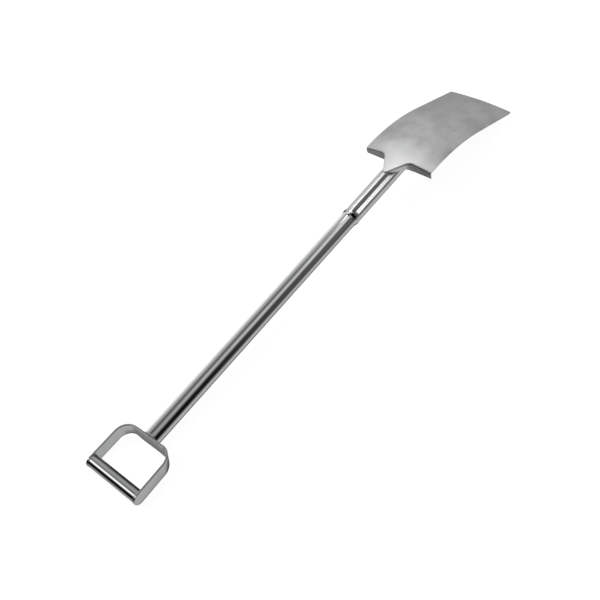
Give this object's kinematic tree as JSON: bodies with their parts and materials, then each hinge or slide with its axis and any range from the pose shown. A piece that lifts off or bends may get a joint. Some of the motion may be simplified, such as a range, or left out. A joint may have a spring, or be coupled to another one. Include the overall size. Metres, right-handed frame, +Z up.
{
  "type": "detecting shovel",
  "caption": "All-metal detecting shovel with a curved, crowned blade, a ribbed socket, a straight tube shaft and a D-shaped strap handle with a round grip.",
  "frame": {"origin": "centre of the bounding box's footprint on the ground, with the shovel lying on its handle and on the tip of its blade", "axes": "+X along the shovel from the handle to the tip of the blade, +Y across it, +Z up, with the convex back of the blade up; the shaft rises 3.2 degrees towards the blade"},
  "size_m": [1.0526, 0.15, 0.0741],
  "materials": {
    "strap_steel": "satin, brushed",
    "polished_steel": "bright polished",
    "shaft_steel": "bright drawn tube",
    "socket_steel": "satin",
    "rivet_steel": "bright polished",
    "blade_steel": "satin, lightly clouded",
    "weld_steel": "ground weld"
  },
  "bodies": {
    "root": {"handle_strap": "strap_steel", "grip_tube": "polished_steel", "grip_welds": "weld_steel", "shaft_tube": "shaft_steel", "shaft_weld": "weld_steel", "socket": "socket_steel", "socket_rivet": "rivet_steel", "blade": "blade_steel"}
  },
  "joints": []
}
